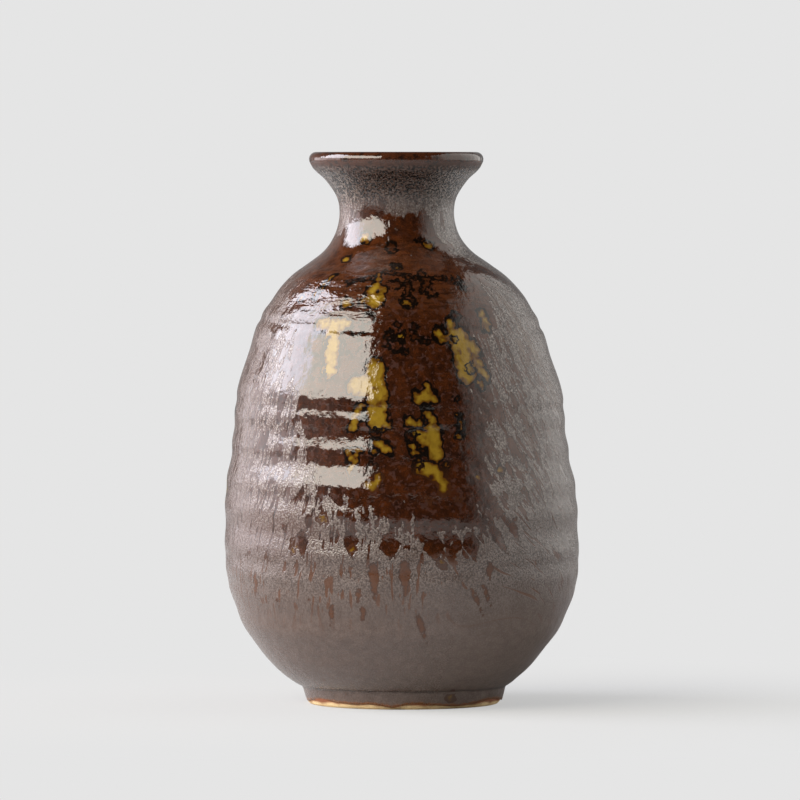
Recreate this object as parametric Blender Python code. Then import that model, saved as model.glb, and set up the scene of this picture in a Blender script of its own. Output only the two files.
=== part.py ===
"""A wheel-thrown stoneware sake bottle (tokkuri) with its coats of glaze.

The bottle stands on z = 0 with its front towards -Y, and the widest part of the belly is centred on the z axis.
Three thrown clay parts are luted together: the foot ring, the body with its floor, and the neck with its flared
lip. Four coats of glaze cover them: the matte base glaze outside, the liner inside, an iron-brown band rolled over
the lip, and the glossy amber glaze that was poured over the shoulder and ran down, furthest at the front.
"""

import math

import bmesh
import bpy
from mathutils import Vector

MM = 0.001
SEGMENTS = 36

# Driving dimensions, in millimetres.
HEIGHT = 135.0
BELLY_HEIGHT = 46.5  # where the glazed belly is widest, and where the leaning axis crosses x = 0
LEAN = 0.014  # sideways drift of the thrown axis towards -X, per millimetre of height
GLAZE = 0.5
LINER = 0.4
RUN = 0.35
COAT_GAP = 0.1  # between a coat and what is under it
LUTING_GAP = 0.2  # between two clay parts

# The outside of the base glaze from the foot's waist to under the lip, as (radius, height).
OUTLINE = (
    (25.6, 4.6),
    (30.8, 8.7),
    (37.1, 16.5),
    (41.5, 26.0),
    (43.1, 36.0),
    (42.9, 47.0),
    (41.1, 60.0),
    (39.7, 72.0),
    (37.2, 84.0),
    (33.1, 95.0),
    (28.0, 102.6),
    (22.1, 107.5),
    (16.5, 112.4),
    (14.5, 116.3),
    (13.95, 120.2),
    (14.8, 124.1),
    (17.5, 128.0),
    (20.5, 131.2),
)

# The clay's inner face from the floor's centre to under the lip, as (radius, height).
INNER = (
    (0.0, 9.0),
    (12.0, 9.3),
    (22.5, 11.8),
    (30.0, 16.6),
    (35.2, 23.5),
    (38.2, 31.0),
    (39.0, 40.0),
    (38.5, 49.0),
    (36.8, 61.0),
    (35.2, 73.0),
    (32.6, 84.0),
    (28.8, 93.5),
    (23.8, 100.6),
    (17.7, 106.2),
    (12.8, 111.0),
    (10.7, 115.5),
    (10.2, 119.8),
    (10.9, 124.0),
    (13.4, 128.0),
    (17.9, 132.3),
)

# Throwing rings as (height, rise, half width): ridges rise and finger grooves fall.
RINGS = (
    (94.0, 0.30, 4.5),
    (86.0, -0.35, 4.5),
    (76.0, 0.35, 5.5),
    (63.0, -0.40, 5.5),
    (50.5, 0.35, 5.0),
    (40.5, -0.25, 4.0),
)

LIP_ROUND = 1.75  # radius of the rolled lip's section, outside its glaze
LIP_CENTRE = Vector((19.6, HEIGHT - LIP_ROUND))
LIP_BAND = (-60.0, 190.0)  # degrees of the lip's section that the iron band covers, with 0 outwards
LIP_STEPS = 10

FOOT_WALL = ((23.7, 0.6), (24.6, 3.8))  # the foot's glazed outside, as (radius, height)
FOOT_HEIGHT = 3.9
FOOT_BEVEL = 0.6
FOOT_BORE = (18.9, 19.4)  # radius inside the foot ring, and at its bevelled bottom edge
RECESS_RADIUS, RECESS_HEIGHT = 18.2, 4.9  # the hollow under the floor reaches a little above the ring
GLAZE_LINE = 1.2  # the base glaze stops this high, and leaves the foot's edge bare

NECK_JOINT = 107.0
RUN_TOP = 111.0
RUN_BOTTOM = 33.0  # mean height of the poured glaze's lower edge
RUN_FRONT = 6.0  # how much further it runs at the front, and less at the back
RUN_DRIPS = ((7, 3.5, 0.6), (11, 2.5, 2.1))  # (drips round the bottle, depth, phase)
RUN_COLUMNS = 60

BODY_ROWS, NECK_ROWS = 15, 9
INNER_BODY_ROWS, INNER_NECK_ROWS = 13, 7

STONEWARE = ((0.56, 0.42, 0.29), 0.85)
MATTE_GLAZE = ((0.17, 0.14, 0.13), 0.55)
LINER_GLAZE = ((0.12, 0.07, 0.04), 0.25)
IRON_GLAZE = ((0.10, 0.04, 0.02), 0.15)
AMBER_GLAZE = ((0.20, 0.09, 0.03), 0.12)


def clear_scene():
    for obj in list(bpy.data.objects):
        bpy.data.objects.remove(obj)


def catmull_rom(points, per_span=12):
    """A smooth curve through the points."""
    ends = [Vector(p) for p in points]
    nodes = [ends[0] * 2 - ends[1], *ends, ends[-1] * 2 - ends[-2]]
    curve = []
    for a, b, c, d in zip(nodes, nodes[1:], nodes[2:], nodes[3:]):
        for step in range(per_span):
            t = step / per_span
            bend = (2 * a - 5 * b + 4 * c - d) * t**2 + (3 * b - 3 * c + d - a) * t**3
            curve.append(b + 0.5 * ((c - a) * t + bend))
    curve.append(ends[-1])
    return curve


def at_height(low, high, height):
    return low.lerp(high, (height - low.y) / (high.y - low.y))


def below(curve, height):
    """The curve's part under this height, ending exactly there."""
    count = sum(p.y < height for p in curve)
    return [*curve[:count], at_height(curve[count - 1], curve[count], height)]


def above(curve, height):
    """The curve's part over this height, starting exactly there."""
    count = sum(p.y <= height for p in curve)
    return [at_height(curve[count - 1], curve[count], height), *curve[count:]]


def evenly(curve, count):
    """count points along the curve at equal spacing, with both ends."""
    lengths = [0.0]
    for a, b in zip(curve, curve[1:]):
        lengths.append(lengths[-1] + (b - a).length)
    found, span = [curve[0]], 0
    for i in range(1, count - 1):
        wanted = lengths[-1] * i / (count - 1)
        while lengths[span + 1] < wanted:
            span += 1
        share = (wanted - lengths[span]) / (lengths[span + 1] - lengths[span])
        found.append(curve[span].lerp(curve[span + 1], share))
    return [*found, curve[-1]]


def in_rows(curve, body_rows, neck_rows):
    """The curve's points below the neck's joint and above it, each at their own spacing."""
    return [*evenly(below(curve, NECK_JOINT), body_rows), *evenly(above(curve, NECK_JOINT), neck_rows)[1:]]


def offset(curve, distance):
    """The curve moved away from the axis at right angles, so that the coats' facets lie parallel."""
    moved = []
    for i, point in enumerate(curve):
        sides = []
        for a, b in zip(curve[max(i - 1, 0) : i + 1], curve[max(i - 1, 0) + 1 : i + 2]):
            along = (b - a).normalized()
            sides.append(Vector((along.y, -along.x)))
        mean = sum(sides, Vector((0.0, 0.0))).normalized()
        moved.append(point + mean * (distance / mean.dot(sides[0])))
    return moved


def lip_arc(radius, steps):
    """Points round the lip's section, from outside over the top to inside."""
    start, end = LIP_BAND
    angles = [math.radians(start + (end - start) * i / steps) for i in range(steps + 1)]
    return [LIP_CENTRE + Vector((math.cos(a), math.sin(a))) * radius for a in angles]


def ring_rise(height):
    return sum(rise * math.exp(-(((height - centre) / width) ** 2)) for centre, rise, width in RINGS)


def outer_wall():
    """The base glaze's outer face from the foot's bottom edge to the lip."""
    curve = [Vector((p.x + ring_rise(p.y), p.y)) for p in catmull_rom(OUTLINE)]
    return [*(Vector(p) for p in FOOT_WALL), *in_rows(curve, BODY_ROWS, NECK_ROWS)]


def inner_wall():
    """The clay's inner face from the floor's centre to the lip."""
    return in_rows(catmull_rom(INNER), INNER_BODY_ROWS, INNER_NECK_ROWS)


def material(name, look):
    colour, roughness = look
    made = bpy.data.materials.new(name)
    made.use_nodes = True
    shader = made.node_tree.nodes["Principled BSDF"]
    shader.inputs["Base Color"].default_value = (*colour, 1.0)
    shader.inputs["Roughness"].default_value = roughness
    return made


def place(name, bm, look):
    """Leans the mesh with the thrown axis, and makes it an object in metres."""
    for vertex in bm.verts:
        vertex.co.x -= LEAN * (vertex.co.z - BELLY_HEIGHT)
        vertex.co *= MM
    bmesh.ops.recalc_face_normals(bm, faces=bm.faces)
    mesh = bpy.data.meshes.new(name)
    bm.to_mesh(mesh)
    bm.free()
    mesh.shade_smooth()
    mesh.set_sharp_from_angle(angle=math.radians(35))
    mesh.materials.append(material(name + "_material", look))
    obj = bpy.data.objects.new(name, mesh)
    bpy.context.scene.collection.objects.link(obj)
    return obj


def turned(name, section, look):
    """A solid turned from its section, which is closed unless both its ends are on the axis."""
    bm = bmesh.new()
    verts = [bm.verts.new((p[0], 0.0, p[1])) for p in section]
    edges = [bm.edges.new(pair) for pair in zip(verts, verts[1:])]
    if section[0][0] > 0.0:
        edges.append(bm.edges.new((verts[-1], verts[0])))
    spun = {"cent": (0, 0, 0), "axis": (0, 0, 1), "angle": math.tau, "steps": SEGMENTS, "use_merge": True}
    bmesh.ops.spin(bm, geom=[*verts, *edges], **spun)
    bmesh.ops.remove_doubles(bm, verts=bm.verts, dist=1e-4)
    return place(name, bm, look)


def make_foot_ring():
    clay = below(offset(outer_wall(), -(GLAZE + COAT_GAP)), FOOT_HEIGHT - LUTING_GAP)
    bore, edge = FOOT_BORE
    under = [(edge, 0.0), (clay[0].x - FOOT_BEVEL, 0.0)]
    turned("foot_ring", [*under, *clay, (bore, clay[-1].y), (bore, FOOT_BEVEL)], STONEWARE)


def make_body():
    clay = above(offset(outer_wall(), -(GLAZE + COAT_GAP)), FOOT_HEIGHT)
    underside = [(0.0, RECESS_HEIGHT), (RECESS_RADIUS, RECESS_HEIGHT), (RECESS_RADIUS + 0.5, FOOT_HEIGHT)]
    inside = below(inner_wall(), NECK_JOINT)
    turned("thrown_body", [*underside, *below(clay, NECK_JOINT), *reversed(inside)], STONEWARE)


def make_neck():
    joint = NECK_JOINT + LUTING_GAP
    clay = above(offset(outer_wall(), -(GLAZE + COAT_GAP)), joint)
    lip = lip_arc(LIP_ROUND - GLAZE - COAT_GAP, LIP_STEPS)
    turned("neck_collar", [*clay, *lip, *reversed(above(inner_wall(), joint))], STONEWARE)


def make_base_glaze():
    outer = above(outer_wall(), GLAZE_LINE)
    turned("base_glaze", [*outer, *reversed(offset(outer, -GLAZE))], MATTE_GLAZE)


def make_liner():
    outer = offset(inner_wall(), -COAT_GAP)
    inner = offset(inner_wall(), -(COAT_GAP + LINER))
    outer[0].x = inner[0].x = 0.0
    turned("liner_glaze", [*outer, *reversed(inner)], LINER_GLAZE)


def make_lip_band():
    outer, inner = (lip_arc(radius, LIP_STEPS) for radius in (LIP_ROUND, LIP_ROUND - GLAZE))
    turned("lip_iron_band", [*outer, *reversed(inner)], IRON_GLAZE)


def run_edge(azimuth):
    """Height of the poured glaze's lower edge. Azimuth 0 is the front."""
    drips = sum(depth * math.sin(count * azimuth + phase) for count, depth, phase in RUN_DRIPS)
    return RUN_BOTTOM - RUN_FRONT * math.cos(azimuth) + drips


def make_run_extent():
    """A ring as tall as the poured glaze, with the wavy line of its drips for a bottom."""
    bm = bmesh.new()
    columns = []
    for i in range(RUN_COLUMNS):
        azimuth = math.tau * (i + 0.3) / RUN_COLUMNS  # turned a little, so that no edge meets one of the coat's
        corners = ((10.0, run_edge(azimuth)), (50.0, run_edge(azimuth)), (50.0, RUN_TOP), (10.0, RUN_TOP))
        columns.append([bm.verts.new((r * math.sin(azimuth), -r * math.cos(azimuth), z)) for r, z in corners])
    for column, after in zip(columns, [*columns[1:], columns[0]]):
        for k in range(4):
            bm.faces.new((column[k], after[k], after[(k + 1) % 4], column[(k + 1) % 4]))
    extent = place("run_extent", bm, AMBER_GLAZE)
    extent.hide_render = True
    extent.display_type = "WIRE"
    return extent


def make_run():
    wall = outer_wall()
    outer, inner = (offset(wall, COAT_GAP + depth)[3:-5] for depth in (RUN, 0.0))
    run = turned("amber_run_glaze", [*outer, *reversed(inner)], AMBER_GLAZE)
    cut = run.modifiers.new("drips", "BOOLEAN")
    cut.operation = "INTERSECT"
    cut.solver = "EXACT"
    cut.object = make_run_extent()


clear_scene()
make_foot_ring()
make_body()
make_neck()
make_base_glaze()
make_liner()
make_lip_band()
make_run()
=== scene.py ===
import math

import bpy
import numpy as np
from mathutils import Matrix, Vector


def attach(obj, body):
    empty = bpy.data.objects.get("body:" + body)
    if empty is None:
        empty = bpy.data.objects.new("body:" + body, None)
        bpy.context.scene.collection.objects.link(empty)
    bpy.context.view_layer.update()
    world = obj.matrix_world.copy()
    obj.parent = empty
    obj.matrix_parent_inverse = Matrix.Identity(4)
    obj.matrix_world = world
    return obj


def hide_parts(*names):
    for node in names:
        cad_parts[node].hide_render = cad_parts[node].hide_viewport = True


# The looks of a glazed stoneware sake bottle. Lengths are in millimetres until a mesh is made. Azimuths run round
# the bottle from its front (-Y), positive towards +X. They are in degrees in the tables and for the panels, and in
# radians where a function takes az and z as arrays.

MM = 0.001
GLAZE_IOR = 1.62
LEAN = 0.014  # sideways shift of the thrown axis per height, zero at BELLY_HEIGHT
BELLY_HEIGHT = 46.5

# ---------------------------------------------------------------------------------------------------------------
# Shape
# ---------------------------------------------------------------------------------------------------------------

# Outside of the glaze without its throwing rings, as (radius, height).
OUTLINE = (
    (23.95, 1.4), (24.4, 2.6), (24.72, 3.6), (24.76, 4.15), (25.5, 4.6), (27.2, 5.7), (30.8, 8.7), (34.3, 12.6),
    (37.2, 16.5), (39.5, 20.6), (41.3, 25.0), (42.65, 30.0), (43.2, 35.0), (43.25, 40.0), (43.2, 45.0),
    (42.85, 51.0), (42.0, 57.0), (41.1, 63.0), (40.5, 68.0), (40.0, 73.5), (39.0, 79.0), (37.3, 85.0), (35.4, 90.5),
    (33.0, 96.0), (29.9, 100.7), (26.3, 104.7), (22.4, 107.6), (18.5, 110.4), (16.1, 113.2), (14.6, 116.4),
    (14.0, 120.2), (14.7, 124.1), (17.35, 128.1), (19.4, 130.0), (20.45, 131.1),
)  # fmt: skip

# The bare foot ring's section, as (radius, height).
FOOT_SECTION = (
    (19.6, 0.0), (22.6, 0.0), (23.0, 0.12), (23.4, 0.5), (23.75, 1.1), (23.95, 1.9), (24.0, 3.0), (23.9, 3.8),
    (18.9, 3.8), (18.9, 0.7), (19.1, 0.25),
)  # fmt: skip

# The clay wall's inside, from the floor up to the lip, as (radius, height).
INNER = (
    (0.4, 9.5), (12.0, 9.8), (22.3, 12.3), (29.6, 17.0), (34.7, 23.8), (37.7, 31.0), (38.5, 40.0), (38.0, 49.0),
    (36.3, 61.0), (34.7, 73.0), (32.1, 84.0), (28.4, 93.2), (23.5, 100.2), (17.4, 105.8), (12.4, 110.8),
    (10.2, 115.4), (9.7, 119.8), (10.5, 124.2), (13.1, 128.4), (17.3, 132.4), (17.86, 132.95),
)  # fmt: skip

# Throwing rings as (height, depth): crests are positive, grooves negative.
RINGS = (
    (4.0, 0.0), (10.0, 0.0), (14.4, -0.14), (18.9, 0.14), (23.3, -0.14), (27.4, 0.1), (29.8, -0.02), (32.3, 0.13),
    (35.8, -0.06), (38.5, 0.17), (43.4, -0.24), (48.6, 0.16), (51.5, -0.04), (55.2, 0.3), (60.5, -0.25),
    (63.8, 0.12), (67.4, -0.16), (71.0, 0.16), (73.6, -0.06), (75.9, 0.26), (86.0, -0.22), (91.4, 0.13),
    (93.0, -0.14), (94.8, 0.12), (97.4, -0.14), (101.0, 0.0), (106.5, -0.04), (111.0, 0.0),
)  # fmt: skip

# How far the thrown axis strays sideways from its lean, as (height, offset).
SWAY = (
    (0.0, 0.12), (4.0, 0.12), (6.5, -0.25), (14.0, -0.25), (24.0, 0.0), (58.0, 0.0), (69.0, -0.12), (80.0, 0.05),
    (92.0, 0.08), (99.0, 0.32), (108.0, 0.3), (114.0, 0.0), (135.0, 0.0),
)  # fmt: skip

LIP_ROUND = 1.75
LIP_CENTRE = (19.6, 133.25)
LIP_STEPS = 24
COAT = 0.45  # thickness of the outer glaze, which is one coat here
LINER = 0.4  # thickness of the liner glaze
WIDEST = 43.4  # no relief reaches past this radius, so the visual stays inside the CAD's box
PER_SPAN = 16  # points on the smooth outline between two of its own
COLUMNS, ROWS = 320, 250
RETURN_ROWS = 40  # rows of the outer glaze's plain inner face
STROKE_REACH = 9.0  # points further above or below a stroke aren't measured against it
BLEND = 0.5  # neighbouring strokes melt into each other over this distance
FLOW_RADIUS = 42.0  # the streaks' coordinates are wound on a cylinder of this radius
FLOW_LEVEL = 66.0  # and aren't turned at this height
RIGHT_SLANT, LEFT_SLANT = 0.78, 0.25  # millimetres sideways for each one down
FIELD_LIMIT = 6.0  # distances past this are clipped in the mesh's fields


def catmull_rom(points, per_span):
    """A smooth curve through the points."""
    p = np.array(points, float)
    p = np.vstack([2 * p[0] - p[1], p, 2 * p[-1] - p[-2]])
    t = (np.arange(per_span) / per_span)[:, None]
    spans = []
    for a, b, c, d in zip(p, p[1:], p[2:], p[3:]):
        bend = (2 * a - 5 * b + 4 * c - d) * t**2 + (3 * b - 3 * c + d - a) * t**3
        spans.append(b + 0.5 * ((c - a) * t + bend))
    return np.vstack([*spans, p[-2]])


def evenly(curve, count):
    """The curve again, as this many points at equal distances."""
    length = np.concatenate([[0.0], np.cumsum(np.linalg.norm(np.diff(curve, axis=0), axis=1))])
    at = np.linspace(0.0, length[-1], count)
    return np.stack([np.interp(at, length, curve[:, k]) for k in range(2)], axis=1)


def normals_of(curve):
    along = np.gradient(curve, axis=0)
    side = np.stack([along[:, 1], -along[:, 0]], axis=1)
    return side / np.linalg.norm(side, axis=1)[:, None]


def smooth(x, low, high):
    """0 below low, 1 above high, and an S curve between the two."""
    t = np.clip((x - low) / (high - low), 0.0, 1.0)
    return t * t * (3.0 - 2.0 * t)


def bell(x, middle, width):
    return np.exp(-(((x - middle) / width) ** 2))


def looked_up(table, x):
    return np.interp(x, *np.array(table).T)


def waves(az, z, seed, count, round_bottle, per_mm):
    """Slow seeded waves between about -1 and 1, each at most round_bottle times round the bottle."""
    rng = np.random.default_rng(seed)
    total = np.zeros(np.broadcast(az, z).shape)
    for _ in range(count):
        turns = rng.integers(1, round_bottle + 1)
        total = total + np.sin(turns * az + rng.uniform(0, math.tau) + z * per_mm * rng.normal())
    return total / math.sqrt(count)


def ring_relief(az, z):
    """Rings climb slowly round the bottle and fade and swell a little, as fingers leave them."""
    heights, depths = np.array(RINGS).T
    level = z + 1.2 * np.sin(az + 0.6) + 0.35 * waves(az, z, seed=3, count=4, round_bottle=3, per_mm=0.03)
    span = np.clip(np.searchsorted(heights, level) - 1, 0, len(heights) - 2)
    share = smooth(level, heights[span], heights[span + 1])
    depth = depths[span] + (depths[span + 1] - depths[span]) * share
    swell = 1.0 + 0.18 * waves(az, z, seed=5, count=4, round_bottle=4, per_mm=0.05)
    return depth * swell * (1.0 - 0.5 * bell(az, 0.7, 0.5) * smooth(z, 44.0, 56.0))


def centred_degrees(az):
    """Azimuth in degrees between -180 and 180, from radians."""
    return np.degrees((az + math.pi) % math.tau - math.pi)


def around_axis(radius, az, z):
    """Points at a radius and azimuth about the axis, as an array with x, y and z last."""
    x, y = radius * np.sin(az), -radius * np.cos(az)
    return np.stack([x, y, np.broadcast_to(z, x.shape)], axis=-1)


def surface_point(azimuth, height):
    """A point of the smooth outside, before the lean, in millimetres."""
    return around_axis(np.interp(height, SMOOTH[:, 1], SMOOTH[:, 0]), np.radians(azimuth), height)


def capsule_distance(points, capsules, taper=0.0):
    """Distance to the nearest stroke's edge. A stroke is (azimuth, height, azimuth, height, radius).

    With a taper it is widest 0.3 of the way along, and a full taper comes to a point at its end.
    """
    best = np.full(len(points), 1e3)
    for az0, z0, az1, z1, radius in capsules:
        a, b = surface_point(az0, z0), surface_point(az1, z1)
        ab = b - a
        near = np.where(np.abs(points[:, 2] - (z0 + z1) / 2) < abs(z1 - z0) / 2 + STROKE_REACH)[0]
        p = points[near] - a
        t = np.clip(p @ ab / max(ab @ ab, 1e-9), 0.0, 1.0)
        d = np.linalg.norm(p - t[:, None] * ab, axis=1) - radius * (1.0 - taper * np.abs(t - 0.3) / 0.7)
        blend = np.clip(0.5 + 0.5 * (best[near] - d) / BLEND, 0.0, 1.0)
        best[near] = best[near] * (1 - blend) + d * blend - BLEND * blend * (1 - blend)
    return best


def grid_mesh(name, rings):
    """A mesh from an array of rings, rows by columns by xyz in mm. The last row joins the first."""
    rows, columns = rings.shape[:2]
    lower = np.arange(rows * columns).reshape(rows, columns)
    upper = np.roll(lower, -1, axis=0)
    quads = np.stack([lower, np.roll(lower, -1, axis=1), np.roll(upper, -1, axis=1), upper], axis=-1)
    flat = rings.reshape(-1, 3).copy()
    flat[:, 0] -= LEAN * (flat[:, 2] - BELLY_HEIGHT)
    mesh = bpy.data.meshes.new(name)
    mesh.from_pydata((flat * MM).tolist(), [], quads.reshape(-1, 4).tolist())
    mesh.validate()
    return mesh


def add_piece(name, mesh, material):
    mesh.shade_smooth()
    mesh.materials.append(material)
    obj = bpy.data.objects.new(name, mesh)
    bpy.context.scene.collection.objects.link(obj)
    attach(obj, "root")
    return obj


def turned(name, section, columns, material):
    """A closed solid turned from a closed section of (radius, height) points."""
    az = np.arange(columns) * math.tau / columns
    section = np.array(section, float)
    mesh = grid_mesh(name, around_axis(section[:, :1], az, section[:, 1:]))
    obj = add_piece(name, mesh, material)
    mesh.set_sharp_from_angle(angle=math.radians(35))
    return obj


# ---------------------------------------------------------------------------------------------------------------
# Where the glazes lie
# ---------------------------------------------------------------------------------------------------------------

# Amber pools on the front, as (azimuth, height, azimuth, height, radius).
POOLS = (
    (-33, 93.5, -22, 93.5, 1.3), (-27, 92.5, -26, 82.5, 1.9), (-9, 83, -7.5, 70.5, 2.3), (-15, 79, -10, 79, 2.4),
    (-14, 73.5, -16, 69, 1), (-6, 70, -4, 69.5, 0.6), (-8, 65.5, -4, 63.5, 0.9), (-18, 63, -16, 60.5, 0.5),
    (-14, 63.5, -16, 60.5, 0.5), (-16, 60.5, -17, 58.5, 0.5), (-9, 63, -9, 63, 0.6), (-11, 55.5, -9, 55, 0.7),
    (-9, 55, -7, 57, 0.7), (21, 94, 23, 90, 1), (24, 90.5, 25, 82, 2.3), (27, 89.5, 30, 87, 1.3),
    (25, 83.5, 25, 81, 1.7), (30, 84.5, 33, 81, 1), (30, 79, 30, 79, 0.9), (16, 92, 16, 90, 0.9),
    (18, 90.5, 21, 90.5, 0.4), (37, 96, 38, 92.5, 0.9), (7, 76, 11, 76, 1.5), (10, 79, 10, 76.5, 0.5),
    (3, 70.5, 7, 69.5, 0.7), (6, 67.5, 8, 65.5, 1.2), (10, 72, 13, 68, 0.9), (11, 68, 12, 62.5, 1.7),
    (7, 59.5, 11, 58.5, 1.5), (12, 58, 14, 54.5, 1.2), (15, 59.5, 15, 59.5, 0.7), (4, 65, 5, 63, 0.7),
    (21, 72, 21, 68, 0.3), (21, 67, 21, 67, 0.7), (35, 58.5, 35, 58.5, 0.6), (26, 57, 26, 57, 0.5),
    (-26, 47, -26, 47, 0.9), (-37, 41, -37, 39.5, 0.5), (-16, 40, -16, 40, 0.6), (13, 36.5, 13, 36.5, 0.5),
    (-11, 101.5, -11, 99.5, 2.1), (-11, 105, -11, 103, 0.5), (-24, 98.5, -24, 98.5, 1), (-17, 99, -17, 99, 0.5),
    (-38, 105, -43, 100, 0.4), (-51, 99.5, -51, 99.5, 0.6), (-30, 114, -30, 114, 1.2), (-38, 109, -38, 109, 0.9),
    (0, 107, 0, 107, 0.5), (3, 98.5, 3, 98.5, 0.7), (1, 90.5, 1, 90.5, 0.6), (27, 3.4, 27, 3.4, 0.8),
    (27, 112.5, 27, 112.5, 0.8),
)  # fmt: skip

# Brown islands inside the front's amber pools.
ISLANDS = (
    (-10, 101, -10, 101, 0.5), (-7.5, 74.5, -7.5, 74.5, 0.5), (-9, 78.5, -9, 78.5, 0.2), (23, 87, 23, 87, 0.2),
    (-29, 90, -31, 87, 0.6),
)  # fmt: skip

# Black specks and veins of iron on the front.
VEINS = (
    (-8, 106, 9, 104.5, 0.4), (12, 106, 14, 103.5, 0.6), (14, 103.5, 11, 101.5, 0.5), (16, 104.5, 25, 104.5, 0.4),
    (5, 104, 4, 101.5, 0.5), (-5, 112, -5, 111.5, 1.1), (19, 113.5, 19, 113.5, 0.5), (32, 104, 32, 104, 0.6),
    (33, 102, 33, 102, 0.5), (-2, 107.5, -2, 107.5, 1), (-27, 103.5, -16, 104.5, 0.4), (-4, 91, -4, 91, 0.7),
    (6, 93, 6, 93, 0.7), (6, 90.5, 11, 89.5, 0.5), (-4, 88.5, -4, 88.5, 0.6), (2, 87, 2, 87, 0.5),
    (-1, 93.5, -1, 93.5, 0.5), (24, 95.5, 24, 95.5, 1), (22, 90, 22, 90, 0.6), (27, 83, 27, 83, 1.1),
    (20, 76, 20, 76, 0.5), (1, 91, 1, 91, 0.6), (6, 60.5, 6, 60.5, 1), (-8, 67.5, -8, 67.5, 1.1),
    (-10, 59, -9, 59.5, 0.9), (19, 51.5, 19, 51.5, 0.6), (9, 51.5, 9, 51.5, 0.5), (4, 67, 4, 67, 1.2),
)  # fmt: skip

# Thin iron rings round brown islands in the amber, as (azimuth, height, radius).
TIDE_LINES = (
    (-33, 88.5, 2.5), (-31, 82, 1.9), (-18, 88.5, 2.3), (-17, 92, 1.4), (-13, 95, 1.5), (31, 104, 1.2),
    (-2, 103, 1.6), (-1, 88.5, 1.5), (4, 99, 1.7), (15, 101, 1.3),
)  # fmt: skip

# Brown drips and patches under the poured coat's ragged edge, on the front.
DRIPS = (
    (1, 36.5, 1, 28.5, 1.4), (-9, 36, -9, 27.5, 1.3), (29, 36, 29, 32, 1), (27, 31, 31, 25.5, 0.6),
    (-55, 33, -58, 26.5, 0.7), (-46, 27, -46, 27, 0.7), (-24, 26, -26, 21, 0.65), (-13, 26, -14, 21.5, 0.65),
    (5, 24, 9, 17, 0.8), (23, 30, 29, 23, 0.6), (-32, 27.5, -32, 27.5, 0.6), (-14, 30, -15, 26.5, 0.6),
    (39, 46.5, 39, 46.5, 1), (-4, 42, -3, 37.5, 2.8), (10, 42, 11, 37, 2.8), (22, 42.5, 24, 37, 2.3),
    (-34, 43, -33, 37.5, 1.9), (-16.5, 43.5, -16, 37.5, 1.9), (-20, 49, -19, 46, 0.9), (-31, 47.5, -31, 44, 0.9),
    (49, 58, 56, 46, 0.7), (36, 46.5, 42, 39.5, 0.6), (-15, 123, -15, 119, 1.0), (-29, 126, -29, 121, 0.55),
    (-36, 131.5, -36, 127, 0.5), (-51, 121, -53, 118, 0.5), (18, 124, 19, 122, 0.4), (41, 66, 46, 59, 0.9),
    (47, 72, 52, 66, 0.8), (52, 63, 57, 56, 0.9), (38, 60, 41, 55, 0.8), (58, 70, 63, 63, 0.7),
    (45, 88, 48, 84, 0.5), (30, 45, 36, 38, 1.4), (38, 45.5, 41, 41, 1.0), (41, 90.5, 42, 86, 0.5),
    (47, 83.5, 50, 79, 0.8), (57, 76.5, 59, 73, 0.45), (43, 76.5, 46, 71, 0.9), (52, 68, 56, 62, 0.7),
    (60, 64, 66, 55, 0.6), (46, 62, 49, 56, 0.8), (40, 66, 42, 60, 0.7), (56, 58, 60, 52, 0.5),
    (44, 54, 48, 48, 0.7), (62, 84, 68, 75, 0.35), (66, 94, 73, 84, 0.3), (38, 72, 39, 68, 0.5),
)  # fmt: skip

# Smooth smears in the right side's sandy veil.
SMEARS = (
    (53, 100, 60, 90, 1.2), (60, 90, 70, 77, 1.5), (53, 89, 56, 84, 1.1), (47, 99.5, 48, 98, 0.8),
    (40, 97, 42, 93, 0.7), (70, 77, 76, 66, 1.2), (48, 72, 52, 64, 1.3),
)  # fmt: skip

# Height at which the brown pour thins out, as (azimuth, height).
REACH = (
    (-180, 88), (-150, 66), (-125, 58), (-100, 84), (-75, 104), (-60, 98), (-48, 91), (-38, 74), (-30, 55),
    (-20, 48), (-12, 46), (0, 44), (10, 41), (20, 43), (27, 45), (36, 48), (40, 70), (44, 98), (50, 101.5),
    (65, 100), (73, 98), (85, 101), (100, 94), (120, 70), (140, 58), (160, 72), (180, 88),
)  # fmt: skip

# The most that the pour covers between belly and shoulder, where it frays into the right side's veil.
VEIL_EDGE = (
    (-180, 2.0), (14, 2.0), (22, 1.0), (28, 0.78), (34, 0.5), (42, 0.36), (52, 0.3), (100, 0.3), (120, 2.0),
    (180, 2.0),
)  # fmt: skip

# Height on the neck above which the brown pour is gone, as (azimuth, height).
NECK_LINE = (
    (-180, 118), (-130, 114), (-90, 112), (-60, 117), (-40, 121), (-20, 122), (-8, 119.5), (0, 118.5), (12, 120),
    (26, 120), (35, 118.5), (39, 114.5), (43, 111.5), (50, 109.5), (73, 105.5), (85, 106), (140, 115), (180, 118),
)  # fmt: skip


def scattered(seed, count, low, high, grow, tail):
    """Seeded pools, specks or drips for the sides and back, in clusters like the front's."""
    rng = np.random.default_rng(seed)
    made = []
    for _ in range(count):
        az, z = rng.uniform(88, 272), rng.uniform(low, high)
        for _ in range(rng.integers(1, 4)):
            length, lean = rng.uniform(0, tail), rng.normal(0, 3)
            radius = grow * rng.uniform(0.4, 1.0)
            made.append((az, z, az + lean, z - length, radius))
            az, z = az + rng.normal(0, 4), z - length + rng.normal(0, 2)
    return tuple(made)


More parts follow.
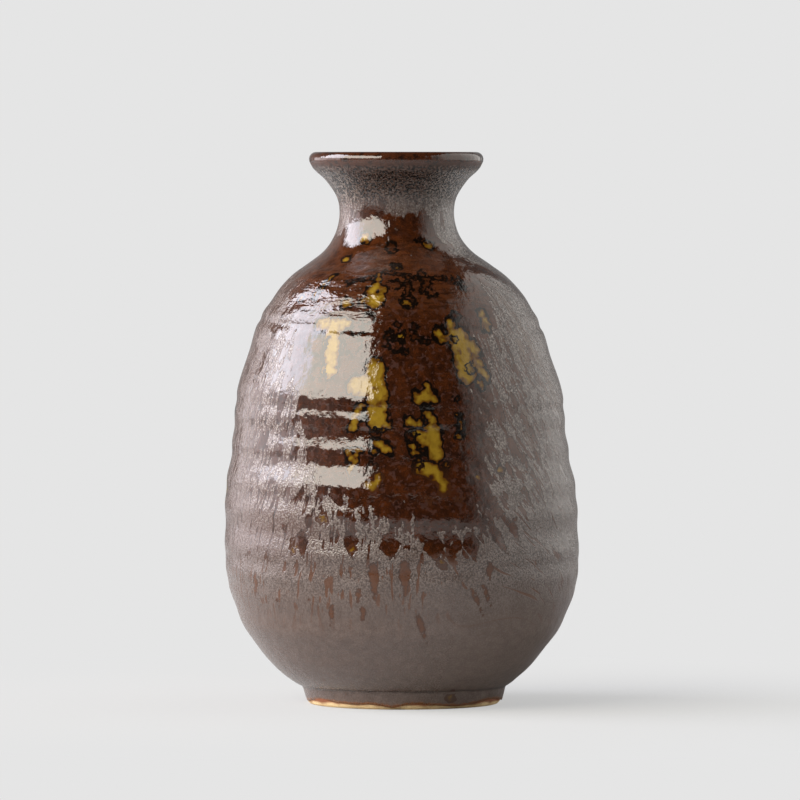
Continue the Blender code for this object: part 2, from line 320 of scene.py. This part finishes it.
def poured_cover(az, z):
    """How fully the brown glaze covers the wall: 0 is bare grey, 1 is all brown, and between the two it streaks."""
    deg = centred_degrees(az)
    reach = looked_up(REACH, deg)
    thin = (0.4 - 0.07 * bell(deg, 50, 24) + 0.05 * bell(deg, -45, 22)) * smooth(z, 24.0, 66.0)
    frayed = looked_up(VEIL_EDGE, deg) + 2.0 * smooth(z, 90.0, 101.0)
    cover = np.clip(np.minimum(0.5 + (z - reach) / 17.0, frayed), thin, 1.0)
    line = looked_up(NECK_LINE, deg)
    return cover * (1.0 - 0.75 * smooth(z, line - 2.2, line + 2.2))


def slant_of(az):
    """How far sideways the glaze ran for each millimetre down: nothing at the front, and most at the right."""
    deg = centred_degrees(az)
    right = smooth(deg, 0, 65) * smooth(-deg, -180, -120)
    left = smooth(-deg, 0, 60) * smooth(deg, -180, -120)
    return RIGHT_SLANT * right - LEFT_SLANT * left


def skin_rows():
    """The outside from the foot's glaze line, over the lip and just down inside, evenly spaced."""
    angles = np.linspace(math.radians(-30.0), math.radians(188.0), LIP_STEPS)
    lip = np.array(LIP_CENTRE) + LIP_ROUND * np.stack([np.cos(angles), np.sin(angles)], axis=1)
    return evenly(np.vstack([catmull_rom(OUTLINE, PER_SPAN), lip]), ROWS)


def glaze_fields(points, az, z):
    """What the material reads at each point of the outside. Distances are negative inside a pool, vein or drip."""
    pools = capsule_distance(points, POOLS + scattered(seed=41, count=26, low=54, high=100, grow=1.9, tail=9))
    pools = np.maximum(pools, -0.1 - capsule_distance(points, ISLANDS))
    veins = capsule_distance(points, VEINS + scattered(seed=43, count=34, low=50, high=110, grow=0.8, tail=3))
    for middle, level, radius in TIDE_LINES:
        away = np.linalg.norm(points - surface_point(middle, level), axis=1)
        veins = np.minimum(veins, np.abs(away - radius) + 0.12)
    drips = DRIPS + scattered(seed=47, count=34, low=20, high=46, grow=1.3, tail=7)
    drips = capsule_distance(points, drips, taper=0.95)
    distances = {"pools": pools, "veins": veins, "drips": drips, "smears": capsule_distance(points, SMEARS)}
    fields = {name: np.clip(d, -FIELD_LIMIT, FIELD_LIMIT).reshape(ROWS, COLUMNS) for name, d in distances.items()}
    plain = {"cover": poured_cover(az, z), "height": z, "side": centred_degrees(az)}
    return fields | {name: np.broadcast_to(values, (ROWS, COLUMNS)) for name, values in plain.items()}


def make_skin(material):
    """The outer glaze as one closed shell: its outside with all its relief, and a plain inner face."""
    rows = skin_rows()
    side = normals_of(rows)
    az = (np.arange(COLUMNS) * math.tau / COLUMNS)[None, :]
    r, z = rows[:, :1], rows[:, 1:]
    nr, nz = side[:, :1], side[:, 1:]

    relief = ring_relief(az, z) * (z < 112)
    uneven = 0.08 * waves(az, z, seed=11, count=7, round_bottle=5, per_mm=0.09)
    relief = relief + uneven * smooth(z, 4.0, 16.0) * (1 - smooth(z, 116.0, 126.0))
    run_down = bell(centred_degrees(az + 0.12), 0.0, math.degrees(0.14))  # one thick run near the front
    line = 0.5 * waves(az, 0 * z, seed=23, count=6, round_bottle=9, per_mm=0.0) - 1.1 * run_down
    drop = np.clip(line, -1.0, 0.9) * (1 - smooth(z, 1.4, 3.4))  # the uneven line where the glaze stops at the foot

    outside = around_axis(np.minimum(r + relief * nr, WIDEST), az, z + relief * nz + drop)
    sway = looked_up(SWAY, z)
    outside[..., 0] += sway

    fields = glaze_fields(around_axis(r, az, z).reshape(-1, 3), az, z)
    lift = 0.06 * smooth(-fields["drips"], -0.8, 0.4) - 0.03 * smooth(-fields["pools"], -0.6, 0.8)
    outside += around_axis(lift * nr, az, lift * nz)

    back_rows = np.linspace(ROWS - 1, 0, RETURN_ROWS).round().astype(int)
    back = (rows - COAT * side)[back_rows]
    inside = around_axis(back[:, :1], az, back[:, 1:] + drop[back_rows])
    inside[..., 0] += sway[back_rows]
    mesh = grid_mesh("outer_glaze", np.concatenate([outside, inside]))

    for name, values in fields.items():
        whole = np.concatenate([values, values[back_rows]]).reshape(-1)
        mesh.attributes.new(name, "FLOAT", "POINT").data.foreach_set("value", whole.astype(np.float32))
    flow = around_axis(FLOW_RADIUS, az + slant_of(az) * (z - FLOW_LEVEL) / FLOW_RADIUS, z)
    whole = np.concatenate([flow, flow[back_rows]]).reshape(-1)
    mesh.attributes.new("flow", "FLOAT_VECTOR", "POINT").data.foreach_set("vector", whole.astype(np.float32))
    return add_piece("outer_glaze", mesh, material)


# ---------------------------------------------------------------------------------------------------------------
# Materials
# ---------------------------------------------------------------------------------------------------------------


class Nodes:
    """Short calls for a material's node tree. All but node and set return an output socket."""

    def __init__(self, name):
        self.material = bpy.data.materials.new(name)
        self.material.use_nodes = True
        self.tree = self.material.node_tree
        self.shader = self.tree.nodes["Principled BSDF"]

    def node(self, kind, values=None, **settings):
        made = self.tree.nodes.new("ShaderNode" + kind)
        for key, value in settings.items():
            setattr(made, key, value)
        for key, value in (values or {}).items():
            if isinstance(value, bpy.types.NodeSocket):
                self.tree.links.new(value, made.inputs[key])
            else:
                made.inputs[key].default_value = value
        return made

    def math(self, operation, a, b=0.0, c=0.0):
        return self.node("Math", {0: a, 1: b, 2: c}, operation=operation).outputs[0]

    def chain(self, operation, values):
        total = values[0]
        for value in values[1:]:
            total = self.math(operation, total, value)
        return total

    def add(self, *terms):
        return self.chain("ADD", terms)

    def times(self, *factors):
        return self.chain("MULTIPLY", factors)

    def most(self, *values):
        return self.chain("MAXIMUM", values)

    def rest(self, value):
        return self.math("SUBTRACT", 1.0, value)

    def scaled(self, value, factor, shift=0.0):
        return self.math("MULTIPLY_ADD", value, factor, shift)

    def between(self, share, a, b):
        """The number a where the share is 0, and b where it is 1."""
        return self.node("Mix", {0: share, 2: a, 3: b}, data_type="FLOAT").outputs[0]

    def step(self, value, low, high, to_low=0.0, to_high=1.0):
        """An S curve from to_low to to_high, as the value goes from low to high. High may be the smaller one."""
        inputs = {"Value": value, "From Min": low, "From Max": high, "To Min": to_low, "To Max": to_high}
        return self.node("MapRange", inputs, interpolation_type="SMOOTHSTEP").outputs["Result"]

    def band(self, value, low, full, full_until, high):
        """0 outside low and high, and 1 from full to full_until."""
        return self.times(self.step(value, low, full), self.step(value, high, full_until))

    def mix(self, factor, a, b):
        """The colour a where the factor is 0, and b where it is 1."""
        a, b = ((*v, 1.0) if isinstance(v, tuple) else v for v in (a, b))
        made = self.node("Mix", data_type="RGBA")
        for socket, value in zip((made.inputs[0], made.inputs[6], made.inputs[7]), (factor, a, b)):
            if isinstance(value, bpy.types.NodeSocket):
                self.tree.links.new(value, socket)
            else:
                socket.default_value = value
        return made.outputs[2]

    def attribute(self, name, vector=False):
        return self.node("Attribute", attribute_name=name).outputs["Vector" if vector else "Fac"]

    def place(self, stretch=(1.0, 1.0, 1.0), source=None):
        """The surface's own coordinates in millimetres, or a vector attribute's, stretched."""
        unit = 1.0 if source else 1.0 / MM
        source = source or self.node("TexCoord").outputs["Object"]
        return self.node("Mapping", {"Vector": source, "Scale": tuple(unit * s for s in stretch)}).outputs[0]

    def noise(self, where, per_mm, detail=2.0, rough=0.5, twist=0.0):
        inputs = {"Vector": where, "Scale": per_mm, "Detail": detail, "Roughness": rough, "Distortion": twist}
        return self.node("TexNoise", inputs).outputs["Fac"]

    def bump(self, height, distance):
        """Relief, where a height of 1 stands this many millimetres out."""
        return self.node("Bump", {"Height": height, "Distance": distance * MM, "Strength": 1.0}).outputs[0]

    def set(self, **values):
        """Sets or links the shader's own sockets."""
        for key, value in values.items():
            socket = self.shader.inputs[key.replace("_", " ")]
            if isinstance(value, bpy.types.NodeSocket):
                self.tree.links.new(value, socket)
            else:
                socket.default_value = value


def srgb(r, g, b):
    """A linear colour from sRGB levels between 0 and 255."""
    return tuple(((c / 255 + 0.055) / 1.055) ** 2.4 if c > 10 else c / 255 / 12.92 for c in (r, g, b))


# Colours of the outer glaze, in sRGB.
GLAZE_COLOURS = {
    "matte_pale": (116, 105, 101), "matte_dark": (97, 84, 79), "matte_grain": (66, 51, 45), "matte_pit": (44, 32, 27),
    # painted shade: the brownish dark grey that darkens the left side
    "foot_pale": (96, 80, 73), "foot_dark": (84, 68, 61), "painted_left_shade": (78, 48, 38), "salt": (154, 146, 140),
    "smear_pale": (102, 84, 72), "smear_dark": (86, 66, 54), "neck": (62, 45, 38), "under_lip_dark": (62, 42, 33),
    "under_lip_pale": (110, 100, 94), "brown_dark": (36, 16, 7), "brown_pale": (62, 29, 10), "shoulder": (92, 54, 31),
    "brown_smear": (78, 42, 23), "milky": (74, 53, 49), "brown_streak": (30, 16, 10), "lip_dark": (30, 17, 11),
    "lip_pale": (62, 32, 17), "drip": (84, 46, 17), "right_runs": (92, 52, 30), "drip_rim": (44, 24, 15),
    # painted shade: the colour of the dark line in the crease above the foot
    "side_veil": (94, 79, 74), "painted_crease_shade": (40, 30, 26), "flash": (124, 74, 32), "amber_rim": (76, 44, 8),
    "amber": (132, 106, 30), "amber_cloud": (86, 60, 14), "ink": (14, 8, 5), "low_ink": (62, 34, 18),
    # painted highlight: the pale colour of the glints beside the pores under the lip
    "pore": (13, 8, 6), "painted_glint": (150, 142, 136),
}  # fmt: skip


def outer_glaze_material():
    n = Nodes("outer_glaze")
    tone = {name: srgb(*levels) for name, levels in GLAZE_COLOURS.items()}

    # Patterns. Those along the runs are drawn out down the slope that the glaze ran on.
    here, runs = n.place(), n.attribute("flow", True)
    big = n.noise(here, 0.16, 3.0)
    swell = n.noise(here, 0.24)
    mid = n.noise(here, 0.5, 3.0, 0.6)
    lobes = n.noise(here, 0.95)
    small = n.noise(here, 1.7, 3.0, 0.6)
    worm = n.noise(here, 1.9, 0.0)
    grain = n.noise(here, 2.4, 3.0, 0.6)
    pebble = n.noise(here, 2.5, 1.0)
    streak = n.noise(n.place((1.0, 1.0, 0.2), runs), 0.5, 2.5, 0.55)
    dash = n.noise(n.place((1.0, 1.0, 0.42), runs), 0.62, 2.5, 0.55)
    tick = n.noise(n.place((1.0, 1.0, 0.16), runs), 1.25, 1.0)
    drizzle = n.noise(n.place((1.0, 1.0, 0.35)), 0.5, 2.0, 0.55)
    smear = n.noise(n.place((0.45, 0.45, 1.9)), 0.7, 3.0, 0.6)
    fold = n.noise(n.place((0.4, 0.4, 1.0)), 0.42, 3.0, 0.55, 0.4)

    # Zones, by height in millimetres and by azimuth in degrees.
    height, side = n.attribute("height"), n.attribute("side")
    low = n.step(height, 38.0, 20.0)
    run_out = n.step(height, 42.0, 30.0)
    shoulder = n.band(height, 93.0, 97.0, 104.0, 108.0)
    collar = n.step(height, 103.0, 113.0)
    upper = n.step(height, 121.5, 127.0)
    under = n.band(height, 124.0, 129.0, 132.1, 132.9)
    lip = n.step(n.add(height, n.scaled(lobes, 3.6, -1.8)), 129.9, 131.4)
    centre = n.step(n.math("ABSOLUTE", n.add(side, 5.0)), 58.0, 22.0)

    # Brown covers where the pour is thick, breaks into streaks at its edge, and runs on in drips.
    ragged = n.add(n.scaled(streak, 0.9, -0.45), n.scaled(dash, 1.5, -0.75), n.scaled(mid, 0.5, -0.25))
    blotted = n.add(n.scaled(mid, 1.1, -0.55), n.scaled(drizzle, 1.9, -0.95))
    reach = n.add(n.attribute("cover"), n.between(collar, ragged, blotted))
    poured = n.step(reach, n.scaled(collar, -0.13, 0.49), n.scaled(collar, 0.13, 0.53))
    flecked = n.scaled(n.band(side, -105.0, -75.0, -34.0, -22.0), 0.015)
    spatter = n.times(n.step(n.add(tick, flecked), 0.61, 0.635), n.step(height, 17.0, 30.0, 0.0, 0.9))
    drip_edge = n.add(n.attribute("drips"), n.scaled(lobes, 1.5, -0.9))
    drip = n.step(drip_edge, 0.12, -0.12)
    brown = n.most(n.times(n.most(poured, spatter), n.rest(upper)), drip, lip)

    # Amber pools lie inside the brown, and iron gathers in a black line round each.
    pool_edge = n.add(n.attribute("pools"), n.scaled(n.noise(here, 0.75, 0.6, 0.5, 0.3), 2.4, -1.3))
    amber = n.step(pool_edge, 0.1, -0.1)
    vein_edge = n.add(n.attribute("veins"), n.scaled(lobes, 3.0, -2.08))
    vein = n.times(n.step(vein_edge, 0.12, -0.12), n.step(vein_edge, -0.95, -0.6, 0.25, 1.0))
    ink = n.most(n.band(pool_edge, -0.12, 0.1, 0.56, 0.8), vein)
    wet = n.most(brown, amber, ink)

    # The matte grey glaze, with its pits, its salt-like specks and the smooth smears between them, and a painted
    # shade over its left side.
    pit = n.times(n.step(pebble, 0.46, 0.38), n.scaled(low, -0.8, 0.85))
    grey = n.mix(n.step(big, 0.3, 0.7), tone["matte_pale"], tone["matte_dark"])
    grey = n.mix(n.step(grain, 0.42, 0.66), grey, tone["matte_grain"])
    grey = n.mix(low, grey, n.mix(n.step(mid, 0.3, 0.7), tone["foot_pale"], tone["foot_dark"]))
    grey = n.mix(pit, grey, tone["matte_pit"])
    # Painted shade: from about 44 mm up, the left side is darkened towards a brownish dark grey.
    painted_left_shade = n.times(n.step(side, -12.0, -42.0, 0.0, 0.5), n.step(height, 30.0, 44.0))
    grey = n.mix(painted_left_shade, grey, tone["painted_left_shade"])
    smeared = n.step(n.add(n.attribute("smears"), n.scaled(lobes, 2.4, -1.2)), 0.2, -0.3)
    salt = n.times(n.step(pebble, 0.52, 0.6), n.step(height, 36.0, 60.0, 0.1, 0.6), n.rest(smeared))
    grey = n.mix(salt, grey, tone["salt"])
    smoothed = n.mix(n.step(streak, 0.35, 0.65), tone["smear_pale"], tone["smear_dark"])
    grey = n.mix(n.scaled(smeared, 0.85), grey, smoothed)
    grey = n.mix(n.times(centre, n.step(height, 108.0, 116.0, 0.0, 0.6)), grey, tone["neck"])
    under_lip = n.times(n.step(mid, 0.3, 0.6), n.scaled(centre, -0.9, 0.95))
    grey = n.mix(upper, grey, n.mix(under_lip, tone["under_lip_dark"], tone["under_lip_pale"]))

    # The brown glaze: lighter and warmer on the shoulder and in the drips, darker in the streaks.
    red = n.mix(n.step(mid, 0.3, 0.7), tone["brown_dark"], tone["brown_pale"])
    warm = n.times(n.band(height, 93.0, 100.0, 108.0, 118.0), n.step(smear, 0.35, 0.6, 0.05, 0.35))
    red = n.mix(warm, red, tone["shoulder"])
    red = n.mix(n.step(smear, 0.5, 0.75, 0.0, 0.35), red, tone["brown_smear"])
    milky = n.times(n.step(lobes, 0.54, 0.64), n.step(height, 104.0, 94.0, 0.1, 0.5))
    red = n.mix(milky, red, tone["milky"])
    red = n.mix(n.step(streak, 0.6, 0.75, 0.0, 0.4), red, tone["brown_streak"])
    red = n.mix(lip, red, n.mix(n.step(mid, 0.3, 0.5), tone["lip_dark"], tone["lip_pale"]))
    red = n.mix(n.scaled(run_out, 0.95), red, tone["drip"])
    right_runs = n.times(n.step(side, 28.0, 40.0, 0.0, 0.4), n.step(height, 99.0, 92.0))
    red = n.mix(right_runs, red, tone["right_runs"])
    red = n.mix(n.scaled(n.band(drip_edge, -0.4, -0.1, 0.0, 0.15), 0.6), red, tone["drip_rim"])

    # Both together, veiled in grey at the sides, with painted shade in the crease and the toasted edge at the foot.
    colour = n.mix(brown, grey, red)
    left = n.scaled(n.band(side, -150.0, -110.0, -68.0, -48.0), 0.4)
    right = n.scaled(n.band(side, 62.0, 72.0, 95.0, 130.0), 0.5)
    colour = n.mix(n.times(n.most(left, right), n.rest(upper)), colour, tone["side_veil"])
    # Painted shade: a dark line along the crease above the foot.
    colour = n.mix(n.scaled(n.band(height, 3.95, 4.25, 4.5, 4.9), 0.6), colour, tone["painted_crease_shade"])
    flash = n.step(n.add(height, n.scaled(lobes, 0.8, -0.4)), 2.15, 1.6)
    colour = n.mix(flash, colour, tone["flash"])

    # Amber and ink lie over all of it.
    gold = n.mix(n.step(pool_edge, 0.0, -1.2), tone["amber_rim"], tone["amber"])
    gold = n.mix(n.step(mid, 0.4, 0.7, 0.0, 0.4), gold, tone["amber_cloud"])
    colour = n.mix(amber, colour, gold)
    colour = n.mix(ink, colour, n.mix(n.step(height, 54.0, 62.0), tone["low_ink"], tone["ink"]))

    # Worm-like pores under the lip, where the matte glaze pulled back from the iron band, and painted glints beside
    # them.
    crowd = n.times(n.step(n.add(height, n.scaled(mid, 7.0, -3.5)), 120.0, 126.0), n.step(height, 132.2, 131.0))
    pore = n.times(n.step(worm, 0.47, 0.44), crowd)
    colour = n.mix(pore, colour, tone["pore"])
    # Painted highlight: small pale silvery dots beside the pores, fewer at the front.
    painted_glint = n.times(n.step(worm, 0.6, 0.63), crowd, n.scaled(centre, -0.3, 0.45))
    colour = n.mix(painted_glint, colour, tone["painted_glint"])

    # Roughness of the matte glaze and of the glossy one. The right side's shoulder is satin.
    dull = n.add(n.scaled(grain, 0.1, 0.04), n.scaled(low, 0.18), n.scaled(pit, 0.22), n.scaled(under, 0.16))
    sleek = n.add(n.scaled(small, 0.06, 0.04), n.scaled(under, 0.4), n.scaled(run_out, 0.26))
    sleek = n.add(sleek, n.scaled(shoulder, 0.08), n.scaled(ink, 0.03))
    satin = n.times(n.band(side, 17.0, 31.0, 95.0, 130.0), n.step(height, 104.0, 95.0, 0.0, 0.17))
    roughness = n.add(n.between(wet, dull, sleek), satin)

    # Relief in millimetres. The matte glaze's pebbled skin is nearly gone where the wall is wet, and at the foot.
    pebbled = n.times(pebble, n.scaled(wet, -0.93, 1.0), n.scaled(low, -0.88, 1.0))
    folds = n.times(fold, shoulder, n.step(side, 14.0, -8.0))
    relief = n.add(n.scaled(pebbled, 0.15), n.scaled(streak, 0.025), n.scaled(mid, 0.1), n.scaled(swell, 0.22))
    relief = n.add(relief, n.scaled(folds, 0.85), n.scaled(pore, -0.1))
    relief = n.add(relief, n.scaled(amber, -0.005), n.scaled(ink, -0.004))
    n.set(Base_Color=colour, Roughness=roughness, IOR=GLAZE_IOR, Normal=n.bump(relief, 1.0))
    return n.material


def clay_material(name, flash):
    """Bare clay. With a flash it is toasted brown above its bottom edge, where it met the glaze in the kiln."""
    n = Nodes(name)
    here = n.place()
    cloud = n.noise(here, 0.22, 3.0)
    sand = n.noise(here, 2.6, 3.0, 0.7)
    colour = n.mix(n.step(cloud, 0.3, 0.7), srgb(238, 212, 164), srgb(216, 186, 138))
    colour = n.mix(n.step(sand, 0.6, 0.72), colour, srgb(138, 100, 68))
    if flash:
        height = n.node("SeparateXYZ", {0: here}).outputs["Z"]
        edge = n.add(height, n.scaled(cloud, 1.2, -0.6))
        colour = n.mix(n.step(edge, 0.55, 1.3), colour, srgb(128, 72, 38))
    n.set(Base_Color=colour, Roughness=n.scaled(sand, 0.25, 0.62), Normal=n.bump(n.noise(here, 3.4, 4.0, 0.7), 0.09))
    return n.material


def liner_material():
    n = Nodes("liner_glaze")
    here = n.place()
    cloud = n.noise(here, 0.2, 3.0)
    fine = n.noise(here, 2.0, 3.0, 0.6)
    colour = n.mix(n.step(cloud, 0.35, 0.68), srgb(60, 33, 20), srgb(84, 66, 58))
    colour = n.mix(n.step(fine, 0.6, 0.7), colour, srgb(30, 18, 13))
    n.set(Base_Color=colour, Roughness=n.scaled(fine, 0.12, 0.14), IOR=GLAZE_IOR, Normal=n.bump(fine, 0.03))
    return n.material


def floor_material(pale):
    """Pale paper that takes the bottle's shadow near it and fades into the plain ground further away."""
    n = Nodes("floor")
    away = n.node("VectorMath", {0: n.node("TexCoord").outputs["Object"]}, operation="LENGTH").outputs["Value"]
    paper = n.noise(n.place(), 0.6)
    colour = n.mix(paper, srgb(196, 197, 197), srgb(199, 200, 200))
    n.set(Base_Color=colour, Roughness=0.9, Specular_IOR_Level=0.0)
    glow = n.node("Emission", {"Color": (*pale, 1.0), "Strength": 1.0}).outputs[0]
    share = n.times(n.step(away, 0.0, 0.18, 0.55, 1.0), n.node("LightPath").outputs["Is Camera Ray"])
    blend = n.node("MixShader", {0: share, 1: n.shader.outputs[0], 2: glow})
    n.tree.links.new(blend.outputs[0], n.tree.nodes["Material Output"].inputs["Surface"])
    return n.material


# ---------------------------------------------------------------------------------------------------------------
# Stage, in metres
# ---------------------------------------------------------------------------------------------------------------

FLOOR_RADIUS, FLOOR_SIDES = 1.6, 96
PANEL_DISTANCE = 0.9
PANEL_TOP, PANEL_FOOT = 1.12, 0.31
SENSOR = 36.0  # the camera's, in millimetres
CAMERA_DISTANCE, CAMERA_HEIGHT = 1.8, 0.130
VIEW_WIDTH = 0.1958  # what the picture spans at the bottle
VIEW_MIDDLE = (-0.0003, 0.0, 0.0743)


def make_floor(pale):
    mesh = bpy.data.meshes.new("floor")
    turns = [math.tau * i / FLOOR_SIDES for i in range(FLOOR_SIDES)]
    ring = [(FLOOR_RADIUS * math.cos(turn), FLOOR_RADIUS * math.sin(turn), 0.0) for turn in turns]
    mesh.from_pydata(ring, [], [tuple(range(FLOOR_SIDES))])
    mesh.materials.append(floor_material(pale))
    floor = bpy.data.objects.new("floor", mesh)
    bpy.context.scene.collection.objects.link(floor)


def make_panel(name, az_low, az_high, low, high, radiance):
    """An upright soft panel that faces the bottle, between two azimuths and two heights."""
    middle = math.radians((az_low + az_high) / 2)
    half = math.radians((az_high - az_low) / 2)
    light = bpy.data.lights.new(name, "AREA")
    light.shape = "RECTANGLE"
    light.size = 2 * PANEL_DISTANCE * math.tan(half)
    light.size_y = high - low
    level = max(radiance)
    light.color = tuple(c / level for c in radiance)
    light.energy = level * math.pi * light.size * light.size_y
    obj = bpy.data.objects.new(name, light)
    obj.location = (PANEL_DISTANCE * math.sin(middle), -PANEL_DISTANCE * math.cos(middle), (low + high) / 2)
    obj.rotation_euler = (math.pi / 2, 0.0, middle)
    obj.visible_camera = False
    bpy.context.scene.collection.objects.link(obj)


def make_world(pale):
    """The camera sees a plain pale ground. The bottle is lit by a room that is bright behind and to the left."""
    world = bpy.data.worlds.new("studio")
    world.use_nodes = True
    tree = world.node_tree
    tree.nodes.clear()

    def link(source, node, socket):
        tree.links.new(source, node.inputs[socket])

    def ramp(value, low, high, to_low, to_high):
        made = tree.nodes.new("ShaderNodeMapRange")
        made.interpolation_type = "SMOOTHSTEP"
        for name, number in zip(("From Min", "From Max", "To Min", "To Max"), (low, high, to_low, to_high)):
            made.inputs[name].default_value = number
        link(value, made, "Value")
        return made.outputs["Result"]

    def combine(operation, a, b):
        made = tree.nodes.new("ShaderNodeMath")
        made.operation = operation
        link(a, made, 0)
        link(b, made, 1)
        return made.outputs[0]

    parts = tree.nodes.new("ShaderNodeSeparateXYZ")
    link(tree.nodes.new("ShaderNodeTexCoord").outputs["Generated"], parts, 0)
    x, y, z = parts.outputs
    behind, left = ramp(y, 0.1, 0.9, 0.03, 0.37), ramp(x, -1.0, -0.5, 0.6, 0.0)
    fade_upwards = ramp(z, 0.0, 1.0, 1.0, 0.05)
    around = tree.nodes.new("ShaderNodeBackground")
    link(combine("MULTIPLY", combine("ADD", behind, left), fade_upwards), around, "Strength")
    seen = tree.nodes.new("ShaderNodeBackground")
    seen.inputs["Color"].default_value = (*pale, 1.0)
    mixed = tree.nodes.new("ShaderNodeMixShader")
    link(tree.nodes.new("ShaderNodeLightPath").outputs["Is Camera Ray"], mixed, 0)
    link(around.outputs[0], mixed, 1)
    link(seen.outputs[0], mixed, 2)
    link(mixed.outputs[0], tree.nodes.new("ShaderNodeOutputWorld"), 0)
    bpy.context.scene.world = world


def make_camera():
    data = bpy.data.cameras.new("camera")
    data.sensor_width = SENSOR
    data.lens = SENSOR * CAMERA_DISTANCE / VIEW_WIDTH
    data.clip_start, data.clip_end = 0.05, 20.0
    camera = bpy.data.objects.new("camera", data)
    target = Vector(VIEW_MIDDLE)
    camera.location = (target.x, -CAMERA_DISTANCE, CAMERA_HEIGHT)
    camera.rotation_euler = (target - camera.location).to_track_quat("-Z", "Y").to_euler()
    bpy.context.scene.collection.objects.link(camera)
    bpy.context.scene.camera = camera


# ---------------------------------------------------------------------------------------------------------------

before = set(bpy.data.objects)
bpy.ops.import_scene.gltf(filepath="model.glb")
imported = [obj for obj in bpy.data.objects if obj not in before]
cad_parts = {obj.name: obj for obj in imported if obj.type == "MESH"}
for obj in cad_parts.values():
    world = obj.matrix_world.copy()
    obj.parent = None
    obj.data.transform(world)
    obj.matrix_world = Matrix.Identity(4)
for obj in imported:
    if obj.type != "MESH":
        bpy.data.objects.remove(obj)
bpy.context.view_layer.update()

# The smooth outside from the foot up, which surface_point reads.
SMOOTH = catmull_rom(OUTLINE, PER_SPAN)
SMOOTH = SMOOTH[np.argsort(SMOOTH[:, 1])]

skin = make_skin(outer_glaze_material())
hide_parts("base_glaze", "amber_run_glaze", "lip_iron_band")

foot = turned("foot_clay", FOOT_SECTION, columns=192, material=clay_material("foot_clay", flash=True))
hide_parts("foot_ring")

wall = evenly(catmull_rom(INNER, per_span=10), count=120)
liner_section = [*wall, *(wall + LINER * normals_of(wall))[::-1]]
liner = turned("liner_glaze_coat", liner_section, columns=160, material=liner_material())
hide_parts("liner_glaze")

clay = clay_material("hidden_clay", flash=False)
for name in ("thrown_body", "neck_collar"):
    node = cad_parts[name]
    node.data.materials.clear()
    node.data.materials.append(clay)

pale = srgb(229, 229, 229)
make_floor(pale)
make_world(pale)
make_panel("cream_panel", -77, -23, PANEL_FOOT, PANEL_TOP, (8.1, 7.6, 6.8))
make_panel("cool_panel", -118, -77, PANEL_FOOT, PANEL_TOP, (9.2, 9.1, 9.9))
make_panel("low_left_panel", -140, -78, 0.0, PANEL_FOOT, (2.4, 2.25, 2.35))
for name, edge in (("right_panel", 67), ("right_panel_inner", 57), ("right_panel_rim", 47)):
    make_panel(name, edge, 150, 0.0, 1.4, (0.43, 0.42, 0.4))  # they overlap, so the edge comes in three steps
make_camera()
bpy.context.scene.view_settings.view_transform = "Standard"
